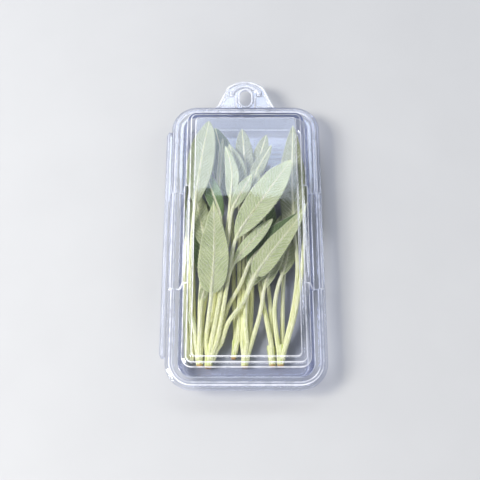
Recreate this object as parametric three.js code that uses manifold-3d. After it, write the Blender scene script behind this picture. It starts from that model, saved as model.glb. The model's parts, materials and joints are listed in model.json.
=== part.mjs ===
// A bunch of fresh sage in its clear hinged pack, lying on its back.
// Millimetres. X runs across the pack with the hinge on the -X side, Y runs along it
// towards the hang tab, Z is up. The origin is the middle of the tray's underside.
import * as THREE from 'three';
import Module from 'manifold-3d';
import { mergeVertices } from 'three/addons/utils/BufferGeometryUtils.js';

const wasm = await Module();
wasm.setup();

// ---- driving dimensions of the pack ----
const PACK_WIDTH = 98; // across the flange
const PACK_LENGTH = 195; // along the flange, without the tab
const CORNER_RADIUS = 17; // flange corners
const LEAST_RADIUS = 2.5; // tightest corner of any step
const TRAY_DEPTH = 13; // underside to the flange's top face
const LID_HEIGHT = 15; // the lid's flange to its top panel
const WALL = 0.5; // sheet thickness
const GAP = 0.3; // clearance between neighbouring pieces
const WELD = 1e-4; // points closer than this are one point
const SINK = 1.2; // how far the tab and the hinge strips run into the flange
const CORNER_STEPS = 5; // facets in each corner
const CURVE_STEPS = 6; // facets in each curve of the tab

// ---- grip band: the middle of both long sides stands proud ----
const BAND_STEP = 0.8;
const BAND_FROM = -33.5;
const BAND_TO = 32;
const BAND_SLOPE = 1; // length of the small step at each end

// ---- hang tab ----
const TAB_ROOT = 43; // width where it leaves the flange
const TAB_SHOULDER = 24; // width at the shoulders
const TAB_FILLET = 2; // where its sides run into the flange
const TAB_REACH = 21; // flange edge to the crown
const TAB_CROWN = 4; // shoulders to the crown
const HOLE_WIDTH = 7.6;
const HOLE_LENGTH = 12.4;
const HOLE_START = 1.4; // flange edge to the hole
const COLLAR_WIDTH = 1.2;
const COLLAR_HEIGHT = 0.8;
const LOCK_RADIUS = 10.4; // centre line of the curved lock ridge over the hole
const LOCK_DROP = 3.3; // its centre below that of the hole's far end
const LOCK_WIDTH = 2.2;
const LOCK_HEIGHT = 1.6;
const LOCK_SPREAD = 62; // degrees to each side of the tab's middle
const KNOB_RADIUS = 1.9; // round ends of the lock ridge

// ---- hinge ----
const HINGE_REACH = 2.4; // flange edge to the line it folds about
const HINGE_RADIUS = 1.1;
const HINGE_LENGTH = 156;
const HINGE_FACETS = 12;

// ---- sage ----
const BLADE_THICKNESS = 0.5;
const PETIOLE_CUT = 2.6; // petiole diameter at its lower end
const PETIOLE_TOP = 1.8; // petiole diameter where the blade starts
const SECTION_POINTS = 8;
const PETIOLE_STEP = 15; // length between petiole sections
const BLADE_ROWS = [0.05, 0.14, 0.28, 0.42, 0.56, 0.7, 0.84, 0.95];
const BLADE_TAPER = 1.5; // higher is more pointed at both ends
const CUP_FROM = 0.25; // share of the blade over which its cupping sets in
const TIP_WIDTH = 0.7;
const STEM_REST = 0.4; // stems clear the tray's floor by this much
const LAID_WIDTH = 98; // the pack that the sage's places below are laid out for
const LAID_LENGTH = 195;
const LAID_HEIGHT = 28.8;

const FLANGE_TOP = TRAY_DEPTH + GAP + WALL; // top face of the lid's flange
const PACK_HEIGHT = FLANGE_TOP + LID_HEIGHT;

// ---- materials ----
const CLEAR_PLASTIC = {
  color: 0xdde4f2,
  roughness: 0.12,
  metalness: 0,
  transparent: true,
  opacity: 0.35,
};
const LEAF_PALE = { color: 0xb4c096, roughness: 0.85, metalness: 0 };
const LEAF_GREEN = { color: 0x6f8a4e, roughness: 0.8, metalness: 0 };
const STEM_GREEN = { color: 0xc6c888, roughness: 0.7, metalness: 0 };

const sage = new THREE.Group();

function addPiece(name, geometry, look) {
  const mesh = new THREE.Mesh(geometry, new THREE.MeshStandardMaterial(look));
  mesh.name = name;
  sage.add(mesh);
}

// ---- geometry helpers ----

// A closed body through rings of points, with a fan over the first and the last ring.
function loft(rings) {
  const count = rings[0].length;
  const last = (rings.length - 1) * count;
  const points = rings.flat();
  const middles = [rings[0], rings[rings.length - 1]].map((ring) => {
    const middle = new THREE.Vector3();
    ring.forEach((point) => middle.add(point));
    return middle.divideScalar(count);
  });
  const start = points.length;
  const index = [];
  for (let side = 0; side < count; side += 1) {
    const next = (side + 1) % count;
    for (let row = 0; row < last; row += count) {
      index.push(row + side, row + next, row + count + next);
      index.push(row + side, row + count + next, row + count + side);
    }
    index.push(start, next, side);
    index.push(start + 1, last + side, last + next);
  }
  const geometry = new THREE.BufferGeometry();
  geometry.setFromPoints([...points, ...middles]);
  geometry.setIndex(index);
  return geometry;
}

function toSolid(geometry) {
  const bare = geometry.clone();
  bare.deleteAttribute('normal');
  bare.deleteAttribute('uv');
  const merged = mergeVertices(bare, WELD);
  const mesh = new wasm.Mesh({
    numProp: 3,
    vertProperties: new Float32Array(merged.attributes.position.array),
    triVerts: new Uint32Array(merged.index.array),
  });
  return new wasm.Manifold(mesh);
}

function toGeometry(solid) {
  const mesh = solid.getMesh();
  const geometry = new THREE.BufferGeometry();
  geometry.setAttribute('position', new THREE.BufferAttribute(mesh.vertProperties, 3));
  geometry.setIndex(new THREE.BufferAttribute(mesh.triVerts, 1));
  return geometry;
}

// A flat plate of a given outline, with its underside at a height.
function plate(shape, bottom, thickness) {
  const geometry = new THREE.ExtrudeGeometry(shape, {
    depth: thickness,
    bevelEnabled: false,
    curveSegments: CURVE_STEPS,
  });
  geometry.translate(0, 0, bottom);
  return toSolid(geometry);
}

// ---- the pack's sheet ----

// One level line of the pack, set in from the flange's edge.
function packRing(inset, height, banded) {
  const halfWidth = PACK_WIDTH / 2 - inset;
  const halfLength = PACK_LENGTH / 2 - inset;
  const radius = Math.max(CORNER_RADIUS - inset, LEAST_RADIUS);
  const ring = [];
  const bulge = banded ? BAND_STEP : 0;
  const addCorner = (signX, signY, startAngle) => {
    for (let step = 0; step <= CORNER_STEPS; step += 1) {
      const angle = startAngle + (step / CORNER_STEPS) * (Math.PI / 2);
      const x = signX * (halfWidth - radius) + radius * Math.cos(angle);
      const y = signY * (halfLength - radius) + radius * Math.sin(angle);
      ring.push(new THREE.Vector3(x, y, height));
    }
  };
  const addBand = (signX, stations) => {
    stations.forEach(([y, out]) => ring.push(new THREE.Vector3(signX * (halfWidth + out), y, height)));
  };
  const upwards = [
    [BAND_FROM - BAND_SLOPE, 0],
    [BAND_FROM, bulge],
    [BAND_TO, bulge],
    [BAND_TO + BAND_SLOPE, 0],
  ];
  addBand(1, upwards);
  addCorner(1, 1, 0);
  addCorner(-1, 1, Math.PI / 2);
  addBand(-1, [...upwards].reverse());
  addCorner(-1, -1, Math.PI);
  addCorner(1, -1, 1.5 * Math.PI);
  return ring;
}

// The line a distance below a profile of [inset, height] points, with mitred corners.
function profileBelow(profile, distance) {
  return profile.map((point, i) => {
    const before = profile[Math.max(i - 1, 0)];
    const after = profile[Math.min(i + 1, profile.length - 1)];
    const normals = [];
    [[before, point], [point, after]].forEach(([from, to]) => {
      const run = new THREE.Vector2(to[0] - from[0], to[1] - from[1]);
      if (run.length() > 0) normals.push(new THREE.Vector2(run.y, -run.x).normalize());
    });
    const middle = normals[0].clone().add(normals[normals.length - 1]).normalize();
    const miter = distance / middle.dot(normals[0]);
    return [point[0] + middle.x * miter, point[1] + middle.y * miter];
  });
}

// A sheet between an upper and a lower profile, each from the flange's edge inwards.
function sheet(upper, lower, bandedPoints) {
  const ringOf = ([inset, height], i) => packRing(inset, height, i > 0 && i < bandedPoints);
  const under = lower.map(ringOf).reverse();
  const over = upper.map(ringOf);
  return toSolid(loft([...under, ...over]));
}

// Each profile runs inwards from the flange's edge, as [inset, height].
// The rim: flat flange, snap ridge, and a shelf at the foot of the wall.
const RIM = [
  [0, 0],
  [1.6, 0],
  [2.4, 2.0],
  [4.6, 2.0],
  [5.4, 0.6],
  [8.0, 0.6],
];
const RIM_SHELF_END = 9; // carries the shelf on, so that the tray's last corner is mitred
const LID_STEPS = [
  [10.6, LID_HEIGHT - 3.4],
  [12.6, LID_HEIGHT - 2.8],
  [13.2, LID_HEIGHT - 1.6],
  [15.6, LID_HEIGHT - 1.2],
  [16.4, LID_HEIGHT],
  [17.4, LID_HEIGHT],
];
const TRAY_STEPS = [
  [10.2, 4.2],
  [11.4, 3.6],
  [12.2, WALL + 0.6],
  [13.4, WALL],
  [14.4, WALL],
];

function raised(profile, height) {
  return profile.map(([inset, rise]) => [inset, height + rise]);
}

// ---- hang tab ----

function tabOutline() {
  const edge = PACK_LENGTH / 2;
  const crown = edge + TAB_REACH;
  const shoulder = crown - TAB_CROWN;
  const halfRoot = TAB_ROOT / 2;
  const halfShoulder = TAB_SHOULDER / 2;
  const foot = halfRoot - TAB_FILLET;
  const side = THREE.MathUtils.lerp(foot, halfShoulder, TAB_FILLET / (shoulder - edge));
  const shape = new THREE.Shape();
  shape.moveTo(-halfRoot, edge - SINK);
  shape.lineTo(halfRoot, edge - SINK);
  shape.lineTo(halfRoot, edge);
  shape.quadraticCurveTo(foot, edge, side, edge + TAB_FILLET);
  shape.lineTo(halfShoulder, shoulder);
  shape.quadraticCurveTo(halfShoulder / 2, crown, 0, crown);
  shape.quadraticCurveTo(-halfShoulder / 2, crown, -halfShoulder, shoulder);
  shape.lineTo(-side, edge + TAB_FILLET);
  shape.quadraticCurveTo(-foot, edge, -halfRoot, edge);
  shape.closePath();
  return shape;
}

// The long hole, or the collar around it when it is grown.
function holeOutline(grow) {
  const radius = HOLE_WIDTH / 2 + grow;
  const low = PACK_LENGTH / 2 + HOLE_START + HOLE_WIDTH / 2;
  const high = low + HOLE_LENGTH - HOLE_WIDTH;
  const shape = new THREE.Shape();
  shape.absarc(0, high, radius, 0, Math.PI);
  shape.absarc(0, low, radius, Math.PI, 2 * Math.PI);
  shape.closePath();
  return shape;
}

function lockOutline() {
  const centre = PACK_LENGTH / 2 + HOLE_START + HOLE_LENGTH - HOLE_WIDTH / 2 - LOCK_DROP;
  const from = Math.PI / 2 - THREE.MathUtils.degToRad(LOCK_SPREAD);
  const to = Math.PI / 2 + THREE.MathUtils.degToRad(LOCK_SPREAD);
  const shape = new THREE.Shape();
  shape.absarc(0, centre, LOCK_RADIUS + LOCK_WIDTH / 2, from, to, false);
  shape.absarc(0, centre, LOCK_RADIUS - LOCK_WIDTH / 2, to, from, true);
  shape.closePath();
  const knobs = [from, to].map((angle) => {
    const x = LOCK_RADIUS * Math.cos(angle);
    const y = centre + LOCK_RADIUS * Math.sin(angle);
    return new THREE.Shape().absarc(x, y, KNOB_RADIUS, 0, 2 * Math.PI);
  });
  return [shape, ...knobs];
}

function withTab(shell, bottom, locking) {
  let solid = shell.add(plate(tabOutline(), bottom, WALL));
  if (locking) {
    solid = solid.add(plate(holeOutline(COLLAR_WIDTH), bottom, WALL + COLLAR_HEIGHT));
    lockOutline().forEach((shape) => {
      solid = solid.add(plate(shape, bottom, WALL + LOCK_HEIGHT));
    });
  }
  return solid.subtract(plate(holeOutline(0), bottom - WALL, LOCK_HEIGHT + 3 * WALL));
}

// ---- hinge strips ----

// The flange's extension towards the fold line, which stops clear of the bead.
function withHingeStrip(shell, bottom) {
  const inner = SINK - PACK_WIDTH / 2;
  const outer = -(PACK_WIDTH / 2 + HINGE_REACH - HINGE_RADIUS - GAP);
  const shape = new THREE.Shape();
  shape.moveTo(outer, -HINGE_LENGTH / 2);
  shape.lineTo(inner, -HINGE_LENGTH / 2);
  shape.lineTo(inner, HINGE_LENGTH / 2);
  shape.lineTo(outer, HINGE_LENGTH / 2);
  shape.closePath();
  return shell.add(plate(shape, bottom, WALL));
}

// ---- tray and lid ----

const lidRim = raised(RIM, FLANGE_TOP);
const lidTop = [...lidRim, ...raised(LID_STEPS, FLANGE_TOP)];
const shelfEnd = [RIM_SHELF_END, lidRim[RIM.length - 1][1]];
const trayRim = profileBelow([...lidRim, shelfEnd], WALL + GAP).slice(0, RIM.length);
const trayTop = [...trayRim, ...TRAY_STEPS];
const banded = RIM.length + 2; // the grip band reaches up the first two steps of each wall

const traySheet = sheet(trayTop, profileBelow(trayTop, WALL), banded);
const traySolid = withHingeStrip(withTab(traySheet, TRAY_DEPTH - WALL, false), TRAY_DEPTH - WALL);
addPiece('tray', toGeometry(traySolid), CLEAR_PLASTIC);

const lidSheet = sheet(lidTop, profileBelow(lidTop, WALL), banded);
const lidSolid = withHingeStrip(withTab(lidSheet, TRAY_DEPTH + GAP, true), TRAY_DEPTH + GAP);
addPiece('lid', toGeometry(lidSolid), CLEAR_PLASTIC);

// The bead along the fold line, which joins the tray's strip and the lid's.
const hinge = new THREE.CylinderGeometry(HINGE_RADIUS, HINGE_RADIUS, HINGE_LENGTH, HINGE_FACETS);
hinge.translate(-(PACK_WIDTH / 2 + HINGE_REACH), 0, TRAY_DEPTH + GAP / 2);
addPiece('hinge', hinge, CLEAR_PLASTIC);

// ---- sage stems ----

// Places in the laid-out pack, moved to where they come in this one.
function alongPack(y) {
  return y * (PACK_LENGTH / LAID_LENGTH);
}

function inPack([x, y, z]) {
  const across = x * (PACK_WIDTH / LAID_WIDTH);
  return new THREE.Vector3(across, alongPack(y), z * (PACK_HEIGHT / LAID_HEIGHT));
}

// Each stem: the middle of its cut end, the middle of the joint that the petioles grow from,
// and its thickness at the joint.
const STEMS = [
  { name: 'stem_1', cut: [-28.4, -80.5], joint: [-29.0, -67], thickness: 5.6 },
  { name: 'stem_2', cut: [-23.2, -81.5], joint: [-22.2, -67], thickness: 6.4 },
  { name: 'stem_3', cut: [-7.8, -75.5], joint: [-6.4, -63], thickness: 4.4 },
  { name: 'stem_4', cut: [-1.0, -81], joint: [-0.4, -67], thickness: 5.4 },
  { name: 'stem_5', cut: [16.0, -80.5], joint: [15.2, -67], thickness: 5.0 },
  { name: 'stem_6', cut: [20.8, -80.5], joint: [21.6, -67], thickness: 6.0 },
];
const STEM_TAPER = [[0, 0.62], [0.12, 0.74], [0.7, 0.86], [0.86, 1], [1, 0.94]]; // along, share

function stemGeometry({ cut, joint, thickness }) {
  const from = inPack([...cut, 0]);
  const to = inPack([...joint, 0]);
  const rings = STEM_TAPER.map(([along, share]) => {
    const middle = from.clone().lerp(to, along);
    middle.z = WALL + STEM_REST + thickness / 2;
    return section(middle, new THREE.Vector3(0, 1, 0), 0, share * thickness, share * thickness, 0);
  });
  return loft(rings);
}

// ---- sage leaves ----

// Each leaf: its spine from the lower end of its petiole to its tip, the length and width of
// its blade, where along the blade it is widest, its turn about the spine in degrees, how far
// its edges lift as a share of the half width, and whether its greener upper side shows.
const LEAVES = [
  {
    name: 'leaf_01',
    spine: [[-33.4, -76.5, 3.6], [-35, -30, 8], [-34.2, 5, 13], [-32.4, 24, 17.5],
      [-28.8, 55, 21], [-24.4, 84, 19]],
    blade: 62, width: 18.5, widest: 0.5, turn: 0, cup: 0.1,
  },
  {
    name: 'leaf_02',
    spine: [[-36.2, -76, 5.2], [-38.2, -30, 9.5], [-38.2, 0, 11], [-38.2, 32, 13.5],
      [-36.6, 62, 14]],
    blade: 62, width: 9, widest: 0.5, turn: 80, cup: 0,
  },
  {
    name: 'leaf_03',
    spine: [[-6.6, -62.5, 2.6], [-7.4, -40, 4.6], [-8, -10, 6.5], [-10, 30, 8], [-15, 60, 9.5],
      [-20.5, 84, 10]],
    blade: 55, width: 17, widest: 0.5, turn: 0, cup: 0.1, greenUp: true,
  },
  {
    name: 'leaf_04',
    spine: [[-23.8, -66.5, 2.6], [-20, -40, 6.5], [-17.5, 0, 10], [-17.5, 35, 13],
      [-15.1, 73.7, 14]],
    blade: 40, width: 7, widest: 0.5, turn: 50, cup: 0,
  },
  {
    name: 'leaf_05',
    spine: [[-21.8, -66.5, 5.4], [-16.2, -35, 11.6], [-12.4, 0, 16.6], [-9.8, 26, 19.2],
      [-9, 45, 20.3], [-13.3, 64.4, 20]],
    blade: 39, width: 9, widest: 0.4, turn: 0, cup: 0.1,
  },
  {
    name: 'leaf_06',
    spine: [[-5, -62.5, 5.2], [-4.4, -45, 6.6], [-4.3, -30, 7.8], [-4.2, -8, 11.5], [-4, 22, 15],
      [-6, 48, 16], [-11.1, 68.4, 15.5]],
    blade: 47, width: 13, widest: 0.45, turn: 0, cup: 0.1,
  },
  {
    name: 'leaf_07',
    spine: [[-1.2, -66.5, 2.6], [0.5, -40, 5], [1.5, 0, 8.5], [1, 38, 11.5], [-1, 62, 12.5],
      [-2.5, 82, 12]],
    blade: 46, width: 12, widest: 0.5, turn: 0, cup: 0.1,
  },
  {
    name: 'leaf_08',
    spine: [[1.6, -66.5, 2.6], [3.4, -40, 3.4], [4.5, 0, 6.5], [6, 40, 9.5], [9.6, 62, 10.5],
      [13.8, 78, 11]],
    blade: 40, width: 10.5, widest: 0.5, turn: 0, cup: 0.1,
  },
  {
    name: 'leaf_09',
    spine: [[15.2, -66.5, 5.3], [12.5, -50, 4.8], [10, -36, 5.2], [5, 0, 9.6], [3, 38, 13],
      [10, 55, 14], [17, 68.5, 14]],
    blade: 36, width: 8, widest: 0.5, turn: 0, cup: 0.1,
  },
  {
    name: 'leaf_10',
    spine: [[-21, -66.5, 8.2], [-15.6, -35, 14.6], [-11, 0, 19.4], [-8.3, 18.2, 20.8],
      [-2, 31, 22], [3.8, 42.9, 21]],
    blade: 28, width: 8.5, widest: 0.45, turn: 0, cup: 0.1,
  },
  {
    name: 'leaf_11',
    spine: [[-2.2, -66.5, 5.2], [-1.8, -45, 6.8], [-1.4, -25, 8.4], [-1, 0, 13], [0.4, 23, 17],
      [7, 47.5, 17.5]],
    blade: 27, width: 10, widest: 0.6, turn: 0, cup: 0.1,
  },
  {
    name: 'leaf_12',
    spine: [[-18.2, -66.5, 8.4], [-14, -45, 12.6], [-10, -20, 17.6], [-6.3, -2.7, 20.8],
      [12, 26, 24], [29.3, 52.6, 22.5]],
    blade: 66, width: 19, widest: 0.5, turn: 0, cup: 0.1,
  },
  {
    name: 'leaf_13',
    spine: [[24, -66.5, 5], [28.5, -48, 8.5], [32.2, -20, 11], [30.8, 8, 13], [30.2, 45, 14.5],
      [31.6, 83, 15]],
    blade: 88, width: 17, widest: 0.45, turn: -12, cup: 0.1,
  },
  {
    name: 'leaf_14',
    spine: [[24.8, -66.5, 7.7], [30.2, -48, 11.2], [35.6, -15, 12], [37.1, 15, 10.8],
      [37.1, 40, 10.6], [36.6, 62, 11]],
    blade: 48, width: 6, widest: 0.5, turn: -30, cup: 0,
  },
  {
    name: 'leaf_15',
    spine: [[-19, -66.5, 5.6], [-13.5, -38, 9.8], [-8.6, -18.8, 15.2], [4, -3, 19],
      [16.9, 11.9, 19.5]],
    blade: 40, width: 9, widest: 0.5, turn: 0, cup: 0.1,
  },
  {
    name: 'leaf_16',
    spine: [[-15.6, -66.5, 6.4], [-11, -54, 9.5], [-1.5, -41, 12.5], [6.5, -24, 15.5],
      [20.8, -4.3, 19], [32.6, 11.4, 19.5], [39.4, 24, 18]],
    blade: 60, width: 14.5, widest: 0.25, turn: 0, cup: 0.1,
  },
  {
    name: 'leaf_17',
    spine: [[0.4, -66.5, 6.4], [-0.6, -50, 8.8], [1, -33, 10.4], [10, -14, 12.1], [24, 6, 12.5]],
    blade: 44, width: 15, widest: 0.45, turn: 0, cup: 0.1,
  },
  {
    name: 'leaf_18',
    spine: [[-24.6, -66.5, 5.8], [-23.6, -55, 10], [-21.4, -37.4, 17], [-19.8, -8, 23],
      [-20.7, 22.9, 23]],
    blade: 61, width: 19.5, widest: 0.3, turn: 0, cup: 0.1,
  },
  {
    name: 'leaf_19',
    spine: [[-27.2, -66.5, 5.2], [-27, -50, 6], [-24.4, -30, 9], [-25, -4, 10.5],
      [-29, 14, 11.5], [-33.4, 36, 11.5]],
    blade: 44, width: 14, widest: 0.5, turn: 0, cup: 0.1,
  },
  {
    name: 'leaf_20',
    spine: [[-20.9, -66.5, 2.6], [-17.2, -40, 7.4], [-15, -10, 12], [-16, 14, 14],
      [-21.5, 32, 16], [-26.4, 47.8, 16]],
    blade: 36, width: 11, widest: 0.5, turn: 0, cup: 0.1, greenUp: true,
  },
  {
    name: 'leaf_21',
    spine: [[19.4, -66.5, 5.2], [17.6, -46, 7], [19.5, -32, 8.4], [25, -14, 8.6], [31, 12, 8.8]],
    blade: 36, width: 12, widest: 0.5, turn: 0, cup: 0.1,
  },
  {
    name: 'leaf_22',
    spine: [[-28.6, -66.5, 2.6], [-29, -40, 4], [-28, -22, 5.5], [-27, 5, 5.5], [-25, 32, 5.5]],
    blade: 55, width: 15, widest: 0.5, turn: 0, cup: 0.1, greenUp: true,
  },
  {
    name: 'leaf_23',
    spine: [[15.6, -66.5, 2.6], [15, -40, 3.2], [13, -15, 4.2], [12, 12, 4.5], [13, 42, 5]],
    blade: 58, width: 16, widest: 0.5, turn: 0, cup: 0.1, greenUp: true,
  },
  {
    name: 'leaf_24',
    spine: [[-31.5, -66.5, 3], [-33.5, -20, 2.6], [-33.5, 10, 3.6], [-31, 40, 6.5], [-30, 76, 7]],
    blade: 42, width: 12, widest: 0.5, turn: 0, cup: 0.1, greenUp: true,
  },
  {
    name: 'leaf_25',
    spine: [[-31, -66.5, 6], [-31.6, -60, 8.6], [-35.2, -47, 11.5]],
    blade: 16, width: 4, widest: 0.5, turn: 0, cup: 0,
  },
  {
    name: 'leaf_26',
    spine: [[-28.6, -66.5, 8], [-27.6, -42, 11], [-24.4, -28, 12.4]],
    blade: 14, width: 6, widest: 0.4, turn: 0, cup: 0,
  },
  {
    name: 'leaf_27',
    spine: [[3, -66.5, 5.2], [8.4, -48, 7.2], [11.5, -31.5, 9.5], [17, -12, 10.2], [21, 6, 10],
      [24, 20, 9.6]],
    blade: 54, width: 13, widest: 0.5, turn: 0, cup: 0.1,
  },
  {
    name: 'leaf_28',
    spine: [[-18.1, -66.5, 2.6], [-11.5, -44, 8], [-4, -31, 12], [4.3, -12.5, 14.4],
      [16, -1.2, 16], [27, 9.2, 17], [35.4, 18, 16.6]],
    blade: 50, width: 13, widest: 0.45, turn: 0, cup: 0.1, greenUp: true,
  },
  {
    name: 'leaf_29',
    spine: [[22.2, -66.5, 2.8], [23, -40, 3.6], [24, -22, 4.4], [28, 6, 5], [30, 34, 6]],
    blade: 54, width: 11, widest: 0.5, turn: 0, cup: 0.1, greenUp: true,
  },
];

// An eight-sided section across a spine: flat and lens-shaped in a blade, round in a petiole.
function section(middle, along, turn, width, thickness, lift) {
  const level = new THREE.Vector3(0, 0, 1).cross(along).normalize();
  const side = level.applyAxisAngle(along, THREE.MathUtils.degToRad(turn));
  const normal = along.clone().cross(side);
  const ring = [];
  for (let corner = 0; corner < SECTION_POINTS; corner += 1) {
    const angle = (corner / SECTION_POINTS) * 2 * Math.PI;
    const across = Math.cos(angle);
    const out = (thickness / 2) * Math.sin(angle) + (lift * width * across * across) / 2;
    const point = middle.clone().addScaledVector(side, (across * width) / 2);
    ring.push(point.addScaledVector(normal, out));
  }
  return ring;
}

function bladeShape(share, widest) {
  const rise = (share / widest) ** widest;
  const fall = ((1 - share) / (1 - widest)) ** (1 - widest);
  return (rise * fall) ** BLADE_TAPER;
}

function leafGeometry({ spine, blade, width, widest, turn, cup }) {
  const curve = new THREE.CatmullRomCurve3(spine.map(inPack), false, 'centripetal');
  const length = curve.getLength();
  const bladeLength = alongPack(blade);
  const bladeStart = 1 - bladeLength / length;
  const petioleRows = Math.max(2, Math.round((length - bladeLength) / PETIOLE_STEP));
  const rings = [];
  for (let row = 0; row <= petioleRows; row += 1) {
    const share = row / petioleRows;
    const at = share * bladeStart;
    const diameter = THREE.MathUtils.lerp(PETIOLE_CUT, PETIOLE_TOP, share);
    const middle = curve.getPointAt(at);
    rings.push(section(middle, curve.getTangentAt(at), share * turn, diameter, diameter, 0));
  }
  [...BLADE_ROWS, 1].forEach((share) => {
    const at = bladeStart + share * (1 - bladeStart);
    const across = TIP_WIDTH + (width - TIP_WIDTH) * bladeShape(share, widest);
    const thickness = Math.max(BLADE_THICKNESS, PETIOLE_TOP * (1 - share / BLADE_ROWS[2]));
    const wide = Math.max(across, thickness);
    const lift = cup * Math.min(1, share / CUP_FROM);
    const middle = curve.getPointAt(at);
    rings.push(section(middle, curve.getTangentAt(at), turn, wide, thickness, lift));
  });
  return loft(rings);
}

STEMS.forEach((stem) => addPiece(stem.name, stemGeometry(stem), STEM_GREEN));
LEAVES.forEach((leaf) => {
  addPiece(leaf.name, leafGeometry(leaf), leaf.greenUp ? LEAF_GREEN : LEAF_PALE);
});

export default sage;
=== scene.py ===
import json
import math

import bpy
import numpy as np
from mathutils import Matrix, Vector


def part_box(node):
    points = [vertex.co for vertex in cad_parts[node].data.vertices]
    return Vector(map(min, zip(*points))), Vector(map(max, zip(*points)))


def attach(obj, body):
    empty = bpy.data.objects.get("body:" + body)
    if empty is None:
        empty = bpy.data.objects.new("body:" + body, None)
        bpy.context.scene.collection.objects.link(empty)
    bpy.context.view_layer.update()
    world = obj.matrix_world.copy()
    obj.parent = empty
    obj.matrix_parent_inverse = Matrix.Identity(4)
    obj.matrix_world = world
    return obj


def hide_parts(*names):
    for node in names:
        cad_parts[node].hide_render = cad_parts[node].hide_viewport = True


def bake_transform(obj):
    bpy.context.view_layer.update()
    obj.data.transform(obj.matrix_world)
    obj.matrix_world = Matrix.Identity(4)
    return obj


# A bunch of fresh sage in its clear hinged pack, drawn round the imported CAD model.
# Shapes are worked out in millimetres, in the frame's axes, and turned into metres
# where a mesh is made. X runs across the pack with the hinge on the -X side, Y runs
# towards the hang tab and Z is up.

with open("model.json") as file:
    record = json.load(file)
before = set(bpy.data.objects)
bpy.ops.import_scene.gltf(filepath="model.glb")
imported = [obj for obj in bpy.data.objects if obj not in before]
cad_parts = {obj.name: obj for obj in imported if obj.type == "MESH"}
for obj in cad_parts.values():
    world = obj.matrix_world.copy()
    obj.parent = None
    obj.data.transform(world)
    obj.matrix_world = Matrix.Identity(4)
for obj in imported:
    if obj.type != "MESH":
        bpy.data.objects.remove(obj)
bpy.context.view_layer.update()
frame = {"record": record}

MM = 0.001
SLOTS = {part["node"]: part["material_slot"] for part in frame["record"]["subparts"]}
SEED = 7
rng = np.random.default_rng(SEED)


def box_mm(node):
    low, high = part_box(node)
    return np.array(low) / MM, np.array(high) / MM


TRAY_LOW, TRAY_HIGH = box_mm("tray")
_, LID_HIGH = box_mm("lid")
HINGE_LOW, HINGE_HIGH = box_mm("hinge")

# ---- the pack, from the frame ----
GAP = 0.3  # between the two flanges
WALL = 0.5  # thickness of the sheet
HALF_WIDTH = TRAY_HIGH[0]
HALF_LENGTH = -TRAY_LOW[1]
TAB_TOP = TRAY_HIGH[1]
FOLD_X = (HINGE_LOW[0] + HINGE_HIGH[0]) / 2
FOLD_Z = (HINGE_LOW[2] + HINGE_HIGH[2]) / 2
HINGE_HALF_LENGTH = HINGE_HIGH[1]
TRAY_FLANGE = FOLD_Z - GAP / 2  # top face of the tray's flange
LID_FLANGE = FOLD_Z + GAP / 2 + WALL  # top face of the lid's flange
LID_PANEL = LID_HIGH[2]

# ---- the pack's sheet ----
CORNER_RADIUS = 17  # of the flange
LEAST_RADIUS = 2.5  # of any step's corner
CORNER_STEPS = 18
BAND_STEP = 0.8  # how far the grip band stands out from the long sides
BAND_FROM = -33.5
BAND_TO = 32
BAND_SLOPE = 1.0  # length of the small step at each end of the band
BAND_STATIONS = 6  # along the band, and along the step at each end
FILLET = 0.75  # radius that the steps are rounded to
FILLET_STEPS = 5
FILLET_REACH = 0.48  # most of a straight run that one rounded corner may take
BEND_GAIN = 1.6  # how soon a corner counts as a full bend
BAND_END_GLINT = 0.9  # how strongly a painted glint marks the band's ends


# ---------------------------------------------------------------- mesh helpers

def make_object(name, points, faces, material=None, smooth=True):
    """A mesh object from points in millimetres."""
    mesh = bpy.data.meshes.new(name)
    mesh.from_pydata((np.asarray(points) * MM).tolist(), [], faces)
    mesh.update()
    mesh.polygons.foreach_set("use_smooth", [smooth] * len(mesh.polygons))
    obj = bpy.data.objects.new(name, mesh)
    bpy.context.scene.collection.objects.link(obj)
    if material:
        mesh.materials.append(material)
    return obj


def tube_faces(rows, columns):
    """Quads between rows of a closed ring, in one direction round."""
    faces = []
    for row in range(rows - 1):
        for column in range(columns):
            beside = (column + 1) % columns
            low = row * columns
            high = low + columns
            faces.append((low + column, low + beside, high + beside, high + column))
    return faces


def flat_ends(rows, columns):
    """One face across each end of a tube."""
    last = (rows - 1) * columns
    return [tuple(range(columns - 1, -1, -1)), tuple(range(last, last + columns))]


def fan_ends(rows, columns):
    """Triangles from each end of a tube to a point of its own, kept after the last row."""
    last = (rows - 1) * columns
    first_end = rows * columns
    faces = []
    for column in range(columns):
        beside = (column + 1) % columns
        faces.append((column, first_end, beside))
        faces.append((last + column, last + beside, first_end + 1))
    return faces


def smoothstep(low, high, value):
    share = np.clip((value - low) / (high - low), 0, 1)
    return share * share * (3 - 2 * share)


def set_vectors(obj, name, values):
    """A named vector for each point of the mesh, which its material reads."""
    layer = obj.data.attributes.new(name, "FLOAT_VECTOR", "POINT")
    layer.data.foreach_set("vector", np.asarray(values, dtype=np.float32).ravel())


# ---------------------------------------------------------------- material helpers

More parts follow.
